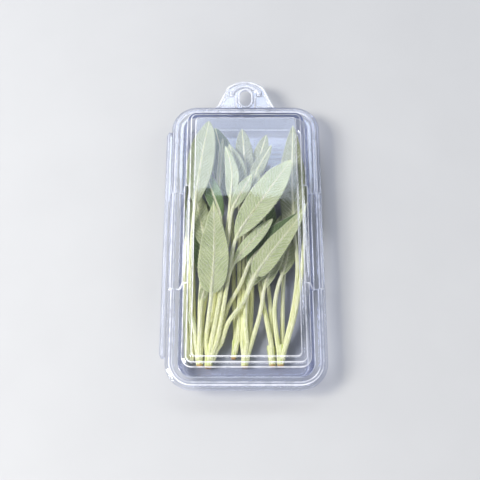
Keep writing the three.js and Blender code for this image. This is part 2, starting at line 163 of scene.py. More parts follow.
class Nodes:
    """A material's nodes, with short calls for the ones used here."""

    def __init__(self, name):
        self.material = bpy.data.materials.new(name)
        self.material.use_nodes = True
        self.tree = self.material.node_tree
        self.tree.nodes.clear()
        self.output = self.add("ShaderNodeOutputMaterial")

    def add(self, kind, **settings):
        node = self.tree.nodes.new(kind)
        for key, value in settings.items():
            setattr(node, key, value)
        return node

    def put(self, socket, value):
        if isinstance(value, bpy.types.NodeSocket):
            self.tree.links.new(value, socket)
        elif isinstance(value, (tuple, list)) and len(value) == 3 and socket.type == "RGBA":
            socket.default_value = (*value, 1.0)
        else:
            socket.default_value = value

    def math(self, operation, first, second=0.0, third=0.0):
        node = self.add("ShaderNodeMath", operation=operation)
        for socket, value in zip(node.inputs, (first, second, third)):
            self.put(socket, value)
        return node.outputs[0]

    def times(self, first, second):
        return self.math("MULTIPLY", first, second)

    def line(self, value, slope, start):
        return self.math("MULTIPLY_ADD", value, slope, start)

    def step(self, value, low, high):
        """0 at low and 1 at high, with a smooth rise; low may be the greater."""
        node = self.add("ShaderNodeMapRange", interpolation_type="SMOOTHSTEP")
        ends = (high, low, 1.0, 0.0) if low > high else (low, high, 0.0, 1.0)
        for socket, entry in zip(node.inputs, (value, *ends)):
            self.put(socket, entry)
        return node.outputs[0]

    def mix(self, share, first, second, blend="MIX"):
        node = self.add("ShaderNodeMix", data_type="RGBA", blend_type=blend)
        self.put(node.inputs[0], share)
        self.put(node.inputs[6], first)
        self.put(node.inputs[7], second)
        return node.outputs[2]

    def place(self, stretch=(1, 1, 1)):
        """The object's own coordinates, in millimetres, stretched."""
        node = self.add("ShaderNodeMapping")
        self.put(node.inputs["Vector"], self.add("ShaderNodeTexCoord").outputs["Object"])
        node.inputs["Scale"].default_value = [entry / MM for entry in stretch]
        return node.outputs[0]

    def noise(self, vector, scale, detail=2.0):
        node = self.add("ShaderNodeTexNoise")
        self.put(node.inputs["Vector"], vector)
        node.inputs["Scale"].default_value = scale
        node.inputs["Detail"].default_value = detail
        return node.outputs["Fac"]

    def split(self, attribute):
        node = self.add("ShaderNodeAttribute", attribute_name=attribute)
        parts = self.add("ShaderNodeSeparateXYZ")
        self.put(parts.inputs[0], node.outputs["Vector"])
        return parts.outputs

    def bump(self, height, strength, distance):
        node = self.add("ShaderNodeBump")
        self.put(node.inputs["Height"], height)
        node.inputs["Strength"].default_value = strength
        node.inputs["Distance"].default_value = distance
        return node.outputs[0]

    def finish(self, shader):
        self.put(self.output.inputs["Surface"], shader.outputs[0])
        return self.material


def from_srgb(red, green, blue):
    """Linear colour from 0..255 sRGB."""
    linear = []
    for entry in (red, green, blue):
        share = entry / 255
        linear.append(share / 12.92 if share <= 0.04045 else ((share + 0.055) / 1.055) ** 2.4)
    return tuple(linear)


# ---------------------------------------------------------------- camera

VIEW_TILT = math.radians(24)  # the camera leans this far from straight down
VIEW_DISTANCE = 0.592
VIEW_CENTRE = Vector((-0.0038, 0.0, TRAY_FLANGE * MM))
LENS = 69.96
SENSOR = 36

camera = bpy.data.objects.new("camera", bpy.data.cameras.new("camera"))
camera.data.lens = LENS
camera.data.sensor_width = SENSOR
camera.data.clip_start = 0.01
camera.rotation_euler = (VIEW_TILT, 0, 0)
towards_camera = Vector((0, -math.sin(VIEW_TILT), math.cos(VIEW_TILT)))
camera.location = VIEW_CENTRE + VIEW_DISTANCE * towards_camera
bpy.context.scene.collection.objects.link(camera)
bpy.context.scene.camera = camera
bpy.context.scene.view_settings.view_transform = "Standard"


# ---------------------------------------------------------------- clear plastic

FACE_ON_GLOSS = 0.045  # share of the light that a clear surface reflects face on
GLOSS = (0.93, 0.95, 1)
TINT_FACE_ON = (0.975, 0.98, 0.995)  # what the sheet lets through
TINT_GRAZING = (0.52, 0.56, 0.76)
PAINTED_DIP_SHADE = (0.14, 0.15, 0.26)  # painted shade: a dark line where the sheet bends inwards, standing in for light the bend refracts away
DIP_SHARE = 0.75
GLINT = (0.92, 0.94, 1.0)  # painted highlight: a white matte line where the sheet bends outwards, standing in for the light such a bend catches
GLINT_LEAST = 0.4
GLINT_SPREAD = 0.45  # how much more of it there is at its brightest


def clear_plastic():
    """Clear sheet with a cool tint: nearly invisible face on, bluer where it turns away, with
    painted glints along its outward bends and painted dark lines along its inward ones.
    """
    nodes = Nodes("clear_plastic")
    coordinates = nodes.place()
    waves = nodes.noise(coordinates, 0.06, 1.0)
    ripple = nodes.noise(coordinates, 0.5, 2.0)
    height = nodes.line(ripple, 0.06, waves)
    normal = nodes.bump(height, 0.15, 0.0006)
    facing = nodes.add("ShaderNodeLayerWeight")
    facing.inputs["Blend"].default_value = 0.5
    bend = nodes.split("bend")[0]
    away = nodes.math("POWER", facing.outputs["Facing"], 2.0)
    tint = nodes.mix(away, TINT_FACE_ON, TINT_GRAZING)
    # painted shade: along inward bends the sheet lets through a dark line
    inwards = nodes.math("MAXIMUM", nodes.times(bend, -1.0), 0.0)
    tint = nodes.mix(nodes.times(inwards, DIP_SHARE), tint, PAINTED_DIP_SHADE)
    through = nodes.add("ShaderNodeBsdfTransparent")
    nodes.put(through.inputs["Color"], tint)
    gloss = nodes.add("ShaderNodeBsdfGlossy")
    nodes.put(gloss.inputs["Color"], GLOSS)
    scuffs = nodes.noise(nodes.place((1, 0.15, 1)), 3.0, 3.0)
    nodes.put(gloss.inputs["Roughness"], nodes.line(scuffs, 0.06, 0.02))
    nodes.put(gloss.inputs["Normal"], normal)
    nodes.put(facing.inputs["Normal"], normal)
    grazing = nodes.math("POWER", facing.outputs["Facing"], 5.0)
    reflected = nodes.line(grazing, 1 - FACE_ON_GLOSS, FACE_ON_GLOSS)
    shader = nodes.add("ShaderNodeMixShader")
    nodes.put(shader.inputs[0], reflected)
    nodes.put(shader.inputs[1], through.outputs[0])
    nodes.put(shader.inputs[2], gloss.outputs[0])
    # painted highlight: white matte glints mixed in along the outward bends, broken up by noise
    glint = nodes.add("ShaderNodeBsdfDiffuse")
    nodes.put(glint.inputs["Color"], GLINT)
    broken = nodes.step(nodes.noise(coordinates, 0.16, 2.0), 0.25, 0.6)
    outwards = nodes.math("MAXIMUM", bend, 0.0)
    stands = nodes.times(outwards, nodes.line(broken, GLINT_SPREAD, GLINT_LEAST))
    painted_lines = nodes.add("ShaderNodeMixShader")
    nodes.put(painted_lines.inputs[0], stands)
    nodes.put(painted_lines.inputs[1], shader.outputs[0])
    nodes.put(painted_lines.inputs[2], glint.outputs[0])
    return nodes.finish(painted_lines)


CLEAR = clear_plastic()


# ---------------------------------------------------------------- pack sheets

def filleted(profile, radius=FILLET):
    """A profile of (inset, height, band) points with each corner rounded.

    The fourth number of each point says how the sheet bends there: 1 at a corner that
    stands out, -1 at one that dips, 0 on the flat. Its material paints a glint at the first
    and a dark line at the second: painted highlight and painted shade."""
    points = [np.array([*profile[0], 0], float)]
    for before, corner, after in zip(profile, profile[1:], profile[2:]):
        before, corner, after = (np.array([*entry, 0], float) for entry in (before, corner, after))
        ends, runs = [], []
        for other in (before, after):
            run = other - corner
            length = np.hypot(run[0], run[1])
            ends.append(corner + run * min(radius / length, FILLET_REACH))
            runs.append(run / length)
        bend = runs[0][0] * runs[1][1] - runs[0][1] * runs[1][0]
        for share in np.linspace(0, 1, FILLET_STEPS):
            point = ((1 - share) ** 2 * ends[0] + 2 * share * (1 - share) * corner
                     + share ** 2 * ends[1])
            point[3] = np.clip(BEND_GAIN * bend, -1, 1) * math.sin(math.pi * share)
            points.append(point)
    points.append(np.array([*profile[-1], 0], float))
    return np.array(points)


def below(profile, distance):
    """The same profile moved away from the outside by the sheet's thickness."""
    run = np.gradient(profile[:, :2], axis=0)
    run /= np.linalg.norm(run, axis=1, keepdims=True)
    moved = profile.copy()
    moved[:, 0] += run[:, 1] * distance
    moved[:, 1] -= run[:, 0] * distance
    return moved


def pack_ring(inset, height, band, bend):
    """One level line of the pack: a rounded rectangle with a grip band on each long side."""
    half_width = HALF_WIDTH - inset
    half_length = HALF_LENGTH - inset
    radius = max(CORNER_RADIUS - inset, LEAST_RADIUS)
    ring = []

    def add_side(sign, stations):
        for y in stations:
            rise = smoothstep(BAND_FROM - BAND_SLOPE, BAND_FROM, y)
            fall = smoothstep(BAND_TO + BAND_SLOPE, BAND_TO, y) if y > 0 else 1
            ring.append((sign * (half_width + BAND_STEP * band * rise * fall), y, height))

    def add_corner(sign_x, sign_y, start):
        for angle in start + np.linspace(0, math.pi / 2, CORNER_STEPS + 1):
            ring.append((sign_x * (half_width - radius) + radius * math.cos(angle),
                         sign_y * (half_length - radius) + radius * math.sin(angle), height))

    low_end = np.linspace(BAND_FROM - BAND_SLOPE, BAND_FROM, BAND_STATIONS)
    high_end = np.linspace(BAND_TO, BAND_TO + BAND_SLOPE, BAND_STATIONS)
    between = np.linspace(BAND_FROM, BAND_TO, BAND_STATIONS)[1:-1]
    stations = np.concatenate([low_end, between, high_end])
    add_side(1, stations)
    add_corner(1, 1, 0)
    add_corner(-1, 1, math.pi / 2)
    add_side(-1, stations[::-1])
    add_corner(-1, -1, math.pi)
    add_corner(1, -1, 1.5 * math.pi)
    return ring


def sheet_mesh(upper, lower):
    """Points, faces and bends of a closed sheet between two profiles, with a painted glint marked
    on the band's ends.
    """
    rows = [*lower[::-1], *upper]
    rings = [pack_ring(*row) for row in rows]
    count = len(rings[0])
    faces = tube_faces(len(rings), count) + flat_ends(len(rings), count)
    points = np.concatenate(rings)
    painted_line_marks = np.repeat([0.0] * len(lower) + [row[3] for row in upper], count)
    # painted highlight: the flat steps at the band's ends are marked for a glint
    ends = band_ends(points[:, 1]) * np.repeat([row[2] for row in rows], count)
    flat = np.abs(painted_line_marks) < 0.05
    return points, faces, np.maximum(painted_line_marks, ends * flat * BAND_END_GLINT)


def band_ends(y):
    """1 on the small step at each end of the grip band."""
    low = np.abs(y - BAND_FROM + BAND_SLOPE / 2)
    high = np.abs(y - BAND_TO - BAND_SLOPE / 2)
    return 1 - smoothstep(0.25, 0.5, np.minimum(low, high))


# Steps of the sheets' upper faces: inset from the flange's edge, height, and 1 where the
# grip band stands out. The rim's heights are from the lid's flange, the lid's from its top
# panel and the tray's from what it stands on.
RIM = [(0, 0, 0), (1.6, 0, 1), (2.4, 2.0, 1), (4.6, 2.0, 1), (5.4, 0.6, 1), (8.0, 0.6, 1)]
RIM_SHELF = (9.2, 0.6, 1)  # carries the tray's rim on, so that its last corner is mitred
LID_STEPS = [(10.6, -3.4, 1), (12.6, -2.8, 1), (13.2, -1.6, 0), (15.6, -1.2, 0), (16.4, 0, 0),
             (17.6, 0, 0)]
TRAY_STEPS = [(10.2, 4.2, 1), (11.4, 3.6, 1), (12.2, WALL + 0.6, 0), (13.4, WALL, 0),
              (14.8, WALL, 0)]


def above(height, steps):
    """The same steps, with their heights from what the tray stands on."""
    return [(inset, height + rise, band) for inset, rise, band in steps]


def tray_rim():
    """The tray's rim lies a gap below the lid's, all along."""
    lid_rim = np.array(above(LID_FLANGE, (*RIM, RIM_SHELF)), float)
    moved = below(lid_rim, WALL + GAP)
    return [tuple(row) for row in moved[:-1]]


lid_profile = filleted(above(LID_FLANGE, RIM) + above(LID_PANEL, LID_STEPS))
tray_profile = filleted(tray_rim() + TRAY_STEPS)


# ---------------------------------------------------------------- hang tab

TAB_ROOT = 43  # width where it leaves the flange
TAB_SHOULDER = 24  # width at the shoulders
TAB_CROWN = 4  # shoulders to the crown
TAB_FILLET = 2  # where the tab's sides run into the flange
SHOULDER_ROUND = 1.7
HOLE_WIDTH = 7.6
HOLE_LENGTH = 12.4
HOLE_START = 1.4
HOLE_MIDDLE = HALF_LENGTH + HOLE_START + HOLE_LENGTH / 2
LOCK_RADIUS = 10.4  # middle line of the curved ridge over the hole
LOCK_DROP = 3.3  # its centre below that of the hole's far end
LOCK_SPREAD = math.radians(62)  # to each side of the tab's middle
LOCK_HALF = 1.15
LOCK_SLOPE = 0.7
COLLAR_OUT = 0.6  # middle of the collar, from the hole's edge
COLLAR_HALF = 0.65
TAB_RIM_IN = 0.9  # middle of the rim, from the tab's edge
TAB_RIM_HALF = 0.6
TAB_RIB_OUT = 6.3  # each straight rib, from the tab's middle
TAB_RIB_HALF = 0.35
TAB_RIB_SLOPE = 0.4
# how far each stands up, and how far the pockets are sunk
COLLAR_LIFT, TAB_RIM_LIFT, LOCK_LIFT, KNOB_LIFT, TAB_RIB_LIFT = 0.75, 0.45, 1.5, 1.6, 0.5
POCKET_DROP = 0.35
TRAY_TAB_RELIEF = 0.35  # the tray's half stands up by this share of the lid's
TAB_BEND_GAIN = 2.2  # how strongly the tab's curves count as bends
TAB_SPOKES = 300
TAB_ROWS = 34


def bezier(start, middle, end, steps):
    share = np.linspace(0, 1, steps)[:, None]
    return ((1 - share) ** 2 * np.array(start) + 2 * share * (1 - share) * np.array(middle)
            + share ** 2 * np.array(end))


def tab_outline():
    """The tab's outer edge, anticlockwise from its root on the +X side."""
    edge = HALF_LENGTH
    top = TAB_TOP - TAB_CROWN
    shoulder = TAB_SHOULDER / 2
    foot = TAB_ROOT / 2 - TAB_FILLET

    def side(y):
        return foot + (shoulder - foot) * (y - edge) / (top - edge)

    low, high = edge + TAB_FILLET, top - SHOULDER_ROUND
    half_way = (low + high) / 2
    side_low, side_high = (side(low), low), (side(high), high)
    over = (shoulder - SHOULDER_ROUND, top + 0.45 * SHOULDER_ROUND)
    right = np.concatenate([
        bezier((TAB_ROOT / 2, edge), (foot, edge), side_low, 10),
        bezier(side_low, (side(half_way), half_way), side_high, 8)[1:],
        bezier(side_high, (shoulder, top), over, 8)[1:],
        bezier(over, (0.45 * shoulder, TAB_TOP), (0, TAB_TOP), 14)[1:],
    ])
    left = right[::-1][1:] * (-1, 1)
    return np.concatenate([right, left])


def spoke_length(angle, outline):
    """Distance from the hole's middle to the outline along a direction."""
    ray = np.array([math.cos(angle), math.sin(angle)])
    starts = outline - (0, HOLE_MIDDLE)
    runs = np.roll(starts, -1, axis=0) - starts
    cross = ray[0] * runs[:, 1] - ray[1] * runs[:, 0]
    cross = np.where(np.abs(cross) < 1e-12, 1e-12, cross)
    reach = (starts[:, 0] * runs[:, 1] - starts[:, 1] * runs[:, 0]) / cross
    along = (starts[:, 0] * ray[1] - starts[:, 1] * ray[0]) / cross
    hit = reach[(along >= -1e-9) & (along <= 1 + 1e-9) & (reach > 0)]
    return hit.max()


def hole_outline():
    """The long hole's edge, anticlockwise."""
    radius = HOLE_WIDTH / 2
    reach = (HOLE_LENGTH - HOLE_WIDTH) / 2
    angles = np.linspace(0, math.pi, 40)
    x = radius * np.cos(angles)
    upper = np.stack([x, HOLE_MIDDLE + reach + radius * np.sin(angles)], axis=1)
    return np.concatenate([upper, upper[::-1] * (1, -1) + (0, 2 * HOLE_MIDDLE)])


def hole_distance(x, y):
    """Distance outside the long hole's edge."""
    reach = (HOLE_LENGTH - HOLE_WIDTH) / 2
    off = np.maximum(np.abs(y - HOLE_MIDDLE) - reach, 0)
    return np.hypot(x, off) - HOLE_WIDTH / 2


def ridge(distance, half_width, slope=0.45):
    """1 within half_width of a line, falling to 0 over slope."""
    return 1 - smoothstep(half_width - slope / 2, half_width + slope / 2, np.abs(distance))


def tab_relief(x, y, edge):
    """How far the lid's tab stands up: rim, collar, curved lock ridge, ribs and pockets."""
    collar = ridge(hole_distance(x, y) - COLLAR_OUT, COLLAR_HALF)
    rim = ridge(edge - TAB_RIM_IN, TAB_RIM_HALF)
    centre = HALF_LENGTH + HOLE_START + HOLE_LENGTH - HOLE_WIDTH / 2 - LOCK_DROP
    turn = np.arctan2(x, y - centre)
    reach = np.hypot(x, y - centre)
    crescent = ridge(reach - LOCK_RADIUS, LOCK_HALF, LOCK_SLOPE)
    crescent = crescent * (1 - smoothstep(0.96 * LOCK_SPREAD, 1.04 * LOCK_SPREAD, np.abs(turn)))
    knob_x = LOCK_RADIUS * math.sin(LOCK_SPREAD)
    knob_y = centre + LOCK_RADIUS * math.cos(LOCK_SPREAD)
    knob = 1 - smoothstep(1.3, 2.1, np.hypot(np.abs(x) - knob_x, y - knob_y))
    ribs = ridge(np.abs(x) - TAB_RIB_OUT, TAB_RIB_HALF, TAB_RIB_SLOPE)
    ribs = ribs * (1 - smoothstep(HOLE_MIDDLE - 1, HOLE_MIDDLE + 1, y))
    in_pocket = smoothstep(6.9, 7.5, np.abs(x)) * smoothstep(2.4, 3.1, edge)
    from_root = smoothstep(HALF_LENGTH + 1.0, HALF_LENGTH + 1.7, y)
    pocket = in_pocket * from_root * (1 - smoothstep(2.2, 3.4, y - knob_y + 5))
    raised = np.maximum.reduce([COLLAR_LIFT * collar, TAB_RIM_LIFT * rim, LOCK_LIFT * crescent,
                                KNOB_LIFT * knob, TAB_RIB_LIFT * ribs])
    return raised - POCKET_DROP * pocket * (1 - np.clip(raised, 0, 1))


def tab_mesh(bottom, relief):
    """A plate from the hole to the tab's edge; relief scales how far it stands up."""
    outline = tab_outline()
    hole = hole_outline()
    angles = np.linspace(0, 2 * math.pi, TAB_SPOKES, endpoint=False)
    outer = np.array([spoke_length(angle, outline) for angle in angles])
    inner = np.array([spoke_length(angle, hole) for angle in angles])
    rows = np.linspace(0, 1, TAB_ROWS)[:, None]
    reach = inner + (outer - inner) * rows
    x = reach * np.cos(angles)
    y = HOLE_MIDDLE + reach * np.sin(angles)
    segments = np.linspace(outline, np.roll(outline, -1, axis=0), 6, endpoint=False)
    segments = segments.reshape(-1, 2)
    free = segments[segments[:, 1] > HALF_LENGTH + 0.05]
    gaps = x.ravel()[:, None] - free[:, 0], y.ravel()[:, None] - free[:, 1]
    edge = np.hypot(*gaps).min(axis=1).reshape(x.shape)
    lift = relief * tab_relief(x, y, edge)
    top = np.stack([x, y, bottom + WALL + lift], axis=-1)
    under = np.stack([x, y, bottom + np.maximum(lift, 0)], axis=-1)
    points = np.concatenate([under[::-1].reshape(-1, 3), top.reshape(-1, 3)])
    spacing = np.linalg.norm(np.diff(top[:, :, :2], axis=0), axis=2).mean()
    curve = np.gradient(np.gradient(lift, axis=0), axis=0) / spacing ** 2
    painted_line_marks = np.clip(-TAB_BEND_GAIN * curve, -1, 1)
    # painted highlight: a glint marked along the tab's free edge
    painted_line_marks = np.maximum(painted_line_marks, 0.9 * (1 - smoothstep(0.15, 0.5, edge)))
    painted_line_marks = np.concatenate([np.zeros(TAB_ROWS * TAB_SPOKES), painted_line_marks.ravel()])
    faces = tube_faces(2 * TAB_ROWS, TAB_SPOKES)
    last = (2 * TAB_ROWS - 1) * TAB_SPOKES
    for column in range(TAB_SPOKES):
        beside = (column + 1) % TAB_SPOKES
        faces.append((last + column, last + beside, beside, column))
    return points, [face[::-1] for face in faces], painted_line_marks


def make_clear(name, *meshes):
    """One clear piece from several (points, faces, bends), the bends kept as marks for its painted
    glints and painted dark lines.
    """
    faces, first = [], 0
    for part_points, part_faces, _ in meshes:
        faces += [tuple(first + index for index in face) for face in part_faces]
        first += len(part_points)
    piece = make_object(name, np.concatenate([mesh[0] for mesh in meshes]), faces, CLEAR)
    painted_line_marks = np.concatenate([mesh[2] for mesh in meshes])
    set_vectors(piece, "bend", np.stack([painted_line_marks, 0 * painted_line_marks, 0 * painted_line_marks], axis=1))
    return piece


tray_sheet = make_clear("tray_sheet", sheet_mesh(tray_profile, below(tray_profile, WALL)),
                        tab_mesh(TRAY_FLANGE - WALL, TRAY_TAB_RELIEF))
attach(tray_sheet, "pack_base")
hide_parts("tray")

lid_sheet = make_clear("lid_sheet", sheet_mesh(lid_profile, below(lid_profile, WALL)),
                       tab_mesh(LID_FLANGE - WALL, 1.0))
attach(lid_sheet, "pack_lid")
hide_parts("lid")


# ---------------------------------------------------------------- hinge

HINGE_SHEET = 0.3
LOOP_RADIUS = 0.95
LOOP_OPEN = math.radians(42)  # half angle between the loop's two ends
HINGE_STATIONS = 60
ARM_DROP = 0.25  # middle of the strip below the top of the flange it joins
HINGE_GLINT_LINES = np.array([-0.95, 0.1, 0.9])  # painted highlights: bright lines across the loop, as shares of its radius


def hinge_mesh():
    """The strip that runs out from the tray's flange, round the fold and back to the lid's."""
    angles = np.linspace(-math.pi + LOOP_OPEN, math.pi - LOOP_OPEN, 26)
    loop = np.stack([FOLD_X - LOOP_RADIUS * np.cos(angles), FOLD_Z + LOOP_RADIUS * np.sin(angles)],
                    axis=1)
    reach = np.linspace(-HALF_WIDTH + 0.2, loop[0, 0] + 0.3, 5)
    low_arm = [(x, TRAY_FLANGE - ARM_DROP) for x in reach]
    high_arm = [(x, LID_FLANGE - ARM_DROP) for x in reach[::-1]]
    middle = np.array([*low_arm, *loop, *high_arm])
    run = np.gradient(middle, axis=0)
    run /= np.linalg.norm(run, axis=1, keepdims=True)
    side = np.stack([run[:, 1], -run[:, 0]], axis=1) * HINGE_SHEET / 2
    section = np.concatenate([middle + side, (middle - side)[::-1]])
    rings = []
    for y in np.linspace(-HINGE_HALF_LENGTH, HINGE_HALF_LENGTH, HINGE_STATIONS):
        from_end = HINGE_HALF_LENGTH - abs(y)
        shrink = smoothstep(-1.2, 1.6, from_end)
        ring = section.copy()
        ring[:, 0] = -HALF_WIDTH + (ring[:, 0] + HALF_WIDTH) * (0.45 + 0.55 * shrink)
        rings.append(np.column_stack([ring[:, 0], np.full(len(ring), y), ring[:, 1]]))
    count = len(section)
    faces = tube_faces(len(rings), count) + flat_ends(len(rings), count)
    lines = np.abs(section[:, 0, None] - (FOLD_X + LOOP_RADIUS * HINGE_GLINT_LINES)).min(axis=1)
    # painted highlight: bright lines on one face of the loop, passed on as bend marks
    painted_highlight = (1 - smoothstep(0.1, 0.3, lines)) * (np.arange(count) < count / 2)
    return np.concatenate(rings), faces, np.tile(painted_highlight, len(rings))


hinge_web = make_clear("hinge_web", hinge_mesh())
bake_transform(hinge_web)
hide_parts("hinge")


# ---------------------------------------------------------------- sage materials

CREAM = from_srgb(253, 251, 222)
RIB_GREEN = from_srgb(228, 231, 172)
WARM = (1.04, 1.0, 0.62)  # what the yellower leaves' colour is multiplied by
VEIN_PITCH = 2.8  # between side veins along the midrib, mm
VEIN_SLANT = 1.15  # how far a side vein runs forward for each mm outwards
CELL_SHADE = (0.80, 0.86, 0.74)  # what the skin between the veins is multiplied by
LOW_RIB_SHADE = (1.0, 1.0, 0.8)  # the same for the lower end of the petiole


def leaf_material(name, base, shade, vein_colour, raised):
    """A sage leaf's skin: midrib, slanting side veins, a fine net between them, soft hairs."""
    nodes = Nodes(name)
    across, along, rib_radius = nodes.split("leaf_grid")
    edge, half_width, seed = nodes.split("leaf_edge")
    place = nodes.place()
    off = nodes.math("ABSOLUTE", across)
    warp = nodes.math("SUBTRACT", nodes.noise(place, 0.22, 2.0), 0.5)
    run = nodes.math("SUBTRACT", along, nodes.times(off, VEIN_SLANT))
    phase = nodes.math("DIVIDE", run, VEIN_PITCH)
    phase = nodes.math("ADD", phase, nodes.times(warp, 1.6))
    one_side = nodes.math("GREATER_THAN", across, 0.0)
    phase = nodes.math("ADD", phase, nodes.times(one_side, 0.45))
    phase = nodes.math("ADD", phase, seed)
    wave = nodes.times(nodes.math("PINGPONG", phase, 0.5), 2.0)
    in_blade = nodes.step(half_width, 1.4, 3.0)
    side_vein = nodes.times(nodes.step(wave, 0.26, 0.02), nodes.step(edge, 0.1, 2.2))
    side_vein = nodes.times(side_vein, in_blade)
    net = nodes.add("ShaderNodeTexVoronoi", feature="DISTANCE_TO_EDGE")
    nodes.put(net.inputs["Vector"], place)
    net.inputs["Scale"].default_value = 0.95
    net_line = nodes.times(nodes.step(net.outputs["Distance"], 0.16, 0.0), in_blade)
    rib = nodes.step(nodes.math("DIVIDE", off, rib_radius), 1.3, 0.9)
    patches = nodes.noise(place, 0.09, 2.0)
    grain = nodes.noise(place, 2.4, 3.0)
    colour = nodes.mix(nodes.step(patches, 0.3, 0.7), base, shade)
    # per-leaf brightness and yellowness; the brightness is partly painted shade
    tone, warmth, _ = nodes.split("leaf_tone_and_shade")
    tones = nodes.add("ShaderNodeCombineColor")
    for socket in tones.inputs:
        nodes.put(socket, tone)
    colour = nodes.mix(1.0, colour, tones.outputs[0], "MULTIPLY")
    colour = nodes.mix(warmth, colour, WARM, "MULTIPLY")
    cells = nodes.times(nodes.step(wave, 0.3, 0.9), nodes.times(in_blade, 0.5))
    colour = nodes.mix(cells, colour, CELL_SHADE, "MULTIPLY")
    colour = nodes.mix(nodes.times(grain, 0.16), colour, vein_colour)
    colour = nodes.mix(nodes.times(net_line, 0.5), colour, vein_colour)
    colour = nodes.mix(nodes.times(side_vein, 0.85), colour, vein_colour)
    colour = nodes.mix(nodes.times(nodes.step(edge, 0.5, 0.0), 0.5), colour, CREAM)
    fibres = nodes.noise(nodes.place((2.2, 0.1, 2.2)), 1.0, 2.0)
    rib_colour = nodes.mix(nodes.step(fibres, 0.38, 0.6), RIB_GREEN, CREAM)
    lower = nodes.step(along, 0.0, -45.0)
    lower = nodes.times(lower, 0.75)
    rib_colour = nodes.mix(lower, rib_colour, LOW_RIB_SHADE, "MULTIPLY")
    colour = nodes.mix(nodes.times(rib, 0.96), colour, rib_colour)
    sign = 1.0 if raised else -1.0
    height = nodes.times(side_vein, sign)
    height = nodes.line(net_line, 0.5 * sign, height)
    height = nodes.line(grain, 0.35, height)
    height = nodes.line(nodes.times(fibres, rib), 0.8, height)
    shader = nodes.add("ShaderNodeBsdfPrincipled")
    nodes.put(shader.inputs["Base Color"], colour)
    nodes.put(shader.inputs["Roughness"], nodes.line(grain, 0.2, 0.62))
    nodes.put(shader.inputs["Normal"], nodes.bump(height, 0.8, 0.0005))
    shader.inputs["Sheen Weight"].default_value = 0.25
    shader.inputs["Sheen Roughness"].default_value = 0.5
    shader.inputs["Specular IOR Level"].default_value = 0.3
    return nodes.finish(shader)


PALE_SIDE = leaf_material("leaf_pale", from_srgb(198, 208, 158), from_srgb(178, 193, 134),
                          from_srgb(247, 249, 222), True)
GREEN_SIDE = leaf_material("leaf_green", from_srgb(110, 138, 84), from_srgb(84, 114, 64),
                           from_srgb(150, 170, 118), False)


STALK_GREEN = from_srgb(204, 214, 122)
STALK_CREAM = from_srgb(248, 248, 198)
CUT_BROWN = from_srgb(176, 120, 62)


def stem_material():
    """Ribbed green stalk, browned where it was cut."""
    nodes = Nodes("stem")
    from_cut, turn, _ = nodes.split("stem_grid")
    fibres = nodes.noise(nodes.place((1.3, 0.12, 1.3)), 1.0, 2.0)
    round_it = nodes.math("SINE", nodes.times(turn, 8.0))
    ribs = nodes.line(round_it, 0.25, fibres)
    colour = nodes.mix(nodes.step(ribs, 0.3, 0.75), STALK_GREEN, STALK_CREAM)
    blotch = nodes.noise(nodes.place(), 0.5, 2.0)
    reach = nodes.line(blotch, 2.4, 0.2)
    brown = nodes.step(nodes.math("DIVIDE", from_cut, reach), 1.4, 0.2)
    colour = nodes.mix(nodes.times(brown, 0.85), colour, CUT_BROWN)
    shader = nodes.add("ShaderNodeBsdfPrincipled")
    nodes.put(shader.inputs["Base Color"], colour)
    nodes.put(shader.inputs["Roughness"], nodes.line(blotch, 0.2, 0.5))
    nodes.put(shader.inputs["Normal"], nodes.bump(ribs, 0.6, 0.0004))
    shader.inputs["Specular IOR Level"].default_value = 0.35
    return nodes.finish(shader)


STALK = stem_material()


# ---------------------------------------------------------------- stems

# Each stem: middle of its cut end, middle of the joint that the petioles grow from, and
# its thickness at the joint, as in the CAD.
STEMS = {
    "stem_1": ((-28.4, -80.5), (-29.0, -67), 5.6),
    "stem_2": ((-23.2, -81.5), (-22.2, -67), 6.4),
    "stem_3": ((-7.8, -75.5), (-6.4, -63), 4.4),
    "stem_4": ((-1.0, -81), (-0.4, -67), 5.4),
    "stem_5": ((16.0, -80.5), (15.2, -67), 5.0),
    "stem_6": ((20.8, -80.5), (21.6, -67), 6.0),
}
STEM_REST = 0.4  # above the tray's floor
STEM_TAPER = [(0, 0.66), (0.12, 0.76), (0.7, 0.88), (0.86, 1), (1, 0.9)]  # along, share
CUT_DISH = 0.35  # how deep the cut end is dished
STEM_DOME = 0.8  # how far the other end is domed
STEM_ROWS = 40
STEM_POINTS = 48


def stem_middle(stem, along):
    cut, joint, thickness = STEMS[stem]
    x, y = (start + (end - start) * along for start, end in zip(cut, joint))
    return np.array([x, y, WALL + STEM_REST + thickness / 2])


def build_stem(name):
    cut, joint, thickness = STEMS[name]
    length = math.dist(cut, joint)
    turns = np.linspace(0, 2 * math.pi, STEM_POINTS, endpoint=False)
    start_turn = rng.uniform(0, math.pi)
    rings, grid = [], []
    knots, shares = zip(*STEM_TAPER)
    for along in np.linspace(0, 1, STEM_ROWS):
        radius = np.interp(along, knots, shares) * thickness / 2
        squared = 1 + 0.07 * np.cos(4 * turns + start_turn)
        ribbed = 1 + 0.035 * np.cos(12 * turns + start_turn) * smoothstep(0.02, 0.15, along)
        swell = 1 - 0.1 * (1 - smoothstep(0, 0.05, along))
        reach = radius * squared * ribbed * swell
        middle = stem_middle(name, along)
        rings.append(np.stack([middle[0] + reach * np.cos(turns), np.full(STEM_POINTS, middle[1]),
                               middle[2] + reach * np.sin(turns)], axis=1))
        grid.append(np.stack([np.full(STEM_POINTS, along * length), turns, 0 * turns], axis=1))
    faces = tube_faces(STEM_ROWS, STEM_POINTS) + fan_ends(STEM_ROWS, STEM_POINTS)
    hollow = rings[0].mean(axis=0) + (0, CUT_DISH, 0)
    tip = rings[-1].mean(axis=0) + (0, STEM_DOME, 0)
    points = np.concatenate([*rings, [hollow, tip]])
    stem = make_object(name + "_stalk", points, [face[::-1] for face in faces], STALK)
    set_vectors(stem, "stem_grid", np.concatenate([*grid, [(0, 0, 0), (length, 0, 0)]]))
    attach(stem, "pack_base")
    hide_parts(name)


for stem_name in STEMS:
    build_stem(stem_name)


# ---------------------------------------------------------------- leaves

